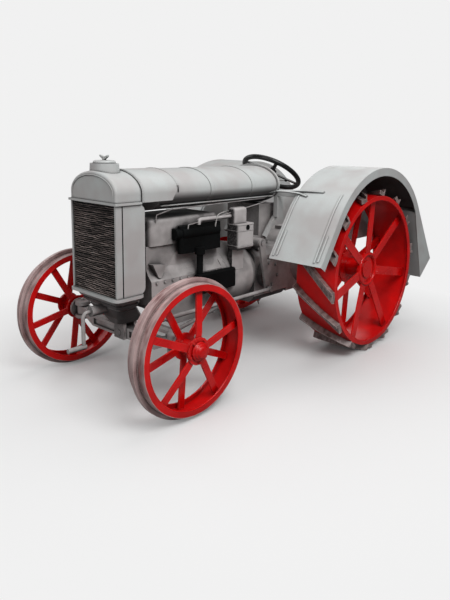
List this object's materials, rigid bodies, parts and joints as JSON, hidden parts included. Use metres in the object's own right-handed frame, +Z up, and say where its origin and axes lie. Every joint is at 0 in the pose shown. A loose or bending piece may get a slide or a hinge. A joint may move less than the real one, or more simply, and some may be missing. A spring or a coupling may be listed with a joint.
{
  "type": "four-wheel farm tractor on steel wheels",
  "caption": "Early farm tractor with open engine, finned radiator, oval fuel tank, curved fenders and spoked steel wheels with skewed lugs; wheels roll and the linkage steers.",
  "frame": {"origin": "on the ground, in the middle of the tractor's length and width", "axes": "+X to the tractor's left, -Y to its front, +Z up"},
  "size_m": [1.59, 2.8508, 1.381],
  "materials": {
    "grey_enamel": "light grey brushed enamel on sheet steel, slightly worn",
    "cast_grey": "light grey enamel on rough cast iron",
    "red_enamel": "red enamel on steel, glossy",
    "front_tread": "red enamel on the rim, the tread worn to pinkish grey steel",
    "rear_tread": "red enamel on the rim, the lugs worn to grey steel",
    "black_iron": "soot black cast iron",
    "core_fins": "dark fins of the radiator core",
    "black_enamel": "black enamel",
    "bare_steel": "thin grey enamel on forged steel"
  },
  "bodies": {
    "chassis": {"air_washer": "grey_enamel", "cylinder_head": "cast_grey", "dash_panel": "grey_enamel", "drawbar": "cast_grey", "engine_block": "cast_grey", "engine_pan": "cast_grey", "exhaust_pipe": "black_iron", "fender_brackets": "grey_enamel", "fender_left": "grey_enamel", "fender_right": "grey_enamel", "fender_stays": "grey_enamel", "flywheel_housing": "cast_grey", "front_axle": "cast_grey", "front_support": "cast_grey", "fuel_tank": "grey_enamel", "hood": "grey_enamel", "ignition_box": "grey_enamel", "levers": "bare_steel", "manifold": "black_iron", "pan_seat": "grey_enamel", "pulley_cover": "cast_grey", "radiator_cap": "grey_enamel", "radiator_core": "core_fins", "radiator_shell": "grey_enamel", "radius_rods": "bare_steel", "rear_axle_housing": "cast_grey", "seat_spring": "grey_enamel", "steering_gear": "cast_grey", "tool_boxes": "grey_enamel", "transmission_housing": "cast_grey"},
    "knuckle_left": {"knuckle_left": "cast_grey"},
    "knuckle_right": {"knuckle_right": "cast_grey"},
    "front_wheel_left": {"front_rim_left": "front_tread", "front_spokes_left": "red_enamel"},
    "front_wheel_right": {"front_rim_right": "front_tread", "front_spokes_right": "red_enamel"},
    "rear_wheel_left": {"rear_rim_left": "rear_tread", "rear_spokes_left": "red_enamel"},
    "rear_wheel_right": {"rear_rim_right": "rear_tread", "rear_spokes_right": "red_enamel"},
    "tie_rod": {"tie_rod": "bare_steel"},
    "drag_link": {"drag_link": "bare_steel"},
    "pitman_arm": {"pitman_arm": "bare_steel"},
    "steering_wheel": {"steering_wheel": "black_enamel"},
    "fan": {"fan": "bare_steel"},
    "starting_crank": {"starting_crank": "bare_steel"}
  },
  "joints": [
    {"name": "steer_left", "type": "hinge", "parent": "chassis", "child": "knuckle_left", "pos_m": [0.45, -1.04236, 0.3806], "axis": [0, 0, 1], "range_deg": [-30, 30]},
    {"name": "steer_right", "type": "hinge", "parent": "chassis", "child": "knuckle_right", "pos_m": [-0.45, -1.04236, 0.3806], "axis": [0, 0, 1], "range_deg": [-30, 30]},
    {"name": "tie_rod_pin", "type": "hinge", "parent": "knuckle_left", "child": "tie_rod", "pos_m": [0.45, -0.87236, 0.3566], "axis": [0, 0, 1], "range_deg": [-30, 30]},
    {"name": "drag_link_pin", "type": "hinge", "parent": "knuckle_left", "child": "drag_link", "pos_m": [0.268, -1.04236, 0.4552], "axis": [0, 0, 1], "range_deg": [-30, 30]},
    {"name": "pitman_swing", "type": "hinge", "parent": "chassis", "child": "pitman_arm", "pos_m": [0.232, -0.08236, 0.785], "axis": [1, 0, 0], "range_deg": [-16.01, 16.01]},
    {"name": "steering_wheel_turn", "type": "hinge", "parent": "chassis", "child": "steering_wheel", "pos_m": [0, 0.30064, 1.242], "axis": [0, 0.5519, 0.8339], "range_deg": [-271, 271]},
    {"name": "front_wheel_left_roll", "type": "hinge", "parent": "knuckle_left", "child": "front_wheel_left", "pos_m": [0.559, -1.04236, 0.3806], "axis": [1, 0, 0], "continuous": true},
    {"name": "front_wheel_right_roll", "type": "hinge", "parent": "knuckle_right", "child": "front_wheel_right", "pos_m": [-0.559, -1.04236, 0.3806], "axis": [1, 0, 0], "continuous": true},
    {"name": "rear_wheel_left_roll", "type": "hinge", "parent": "chassis", "child": "rear_wheel_left", "pos_m": [0.62, 0.55764, 0.5784], "axis": [1, 0, 0], "continuous": true},
    {"name": "rear_wheel_right_roll", "type": "hinge", "parent": "chassis", "child": "rear_wheel_right", "pos_m": [-0.62, 0.55764, 0.5784], "axis": [1, 0, 0], "continuous": true},
    {"name": "fan_spin", "type": "hinge", "parent": "chassis", "child": "fan", "pos_m": [0, -1.03236, 0.8], "axis": [0, 1, 0], "continuous": true},
    {"name": "crank_turn", "type": "hinge", "parent": "chassis", "child": "starting_crank", "pos_m": [0, -1.32736, 0.51], "axis": [0, 1, 0], "continuous": true}
  ],
  "couplings": [
    {"joint": "steer_right", "follows": "steer_left", "ratio": 1},
    {"joint": "tie_rod_pin", "follows": "steer_left", "ratio": -1},
    {"joint": "drag_link_pin", "follows": "steer_left", "ratio": -1},
    {"joint": "pitman_swing", "follows": "steer_left", "ratio": -0.527},
    {"joint": "steering_wheel_turn", "follows": "steer_left", "ratio": 9}
  ]
}
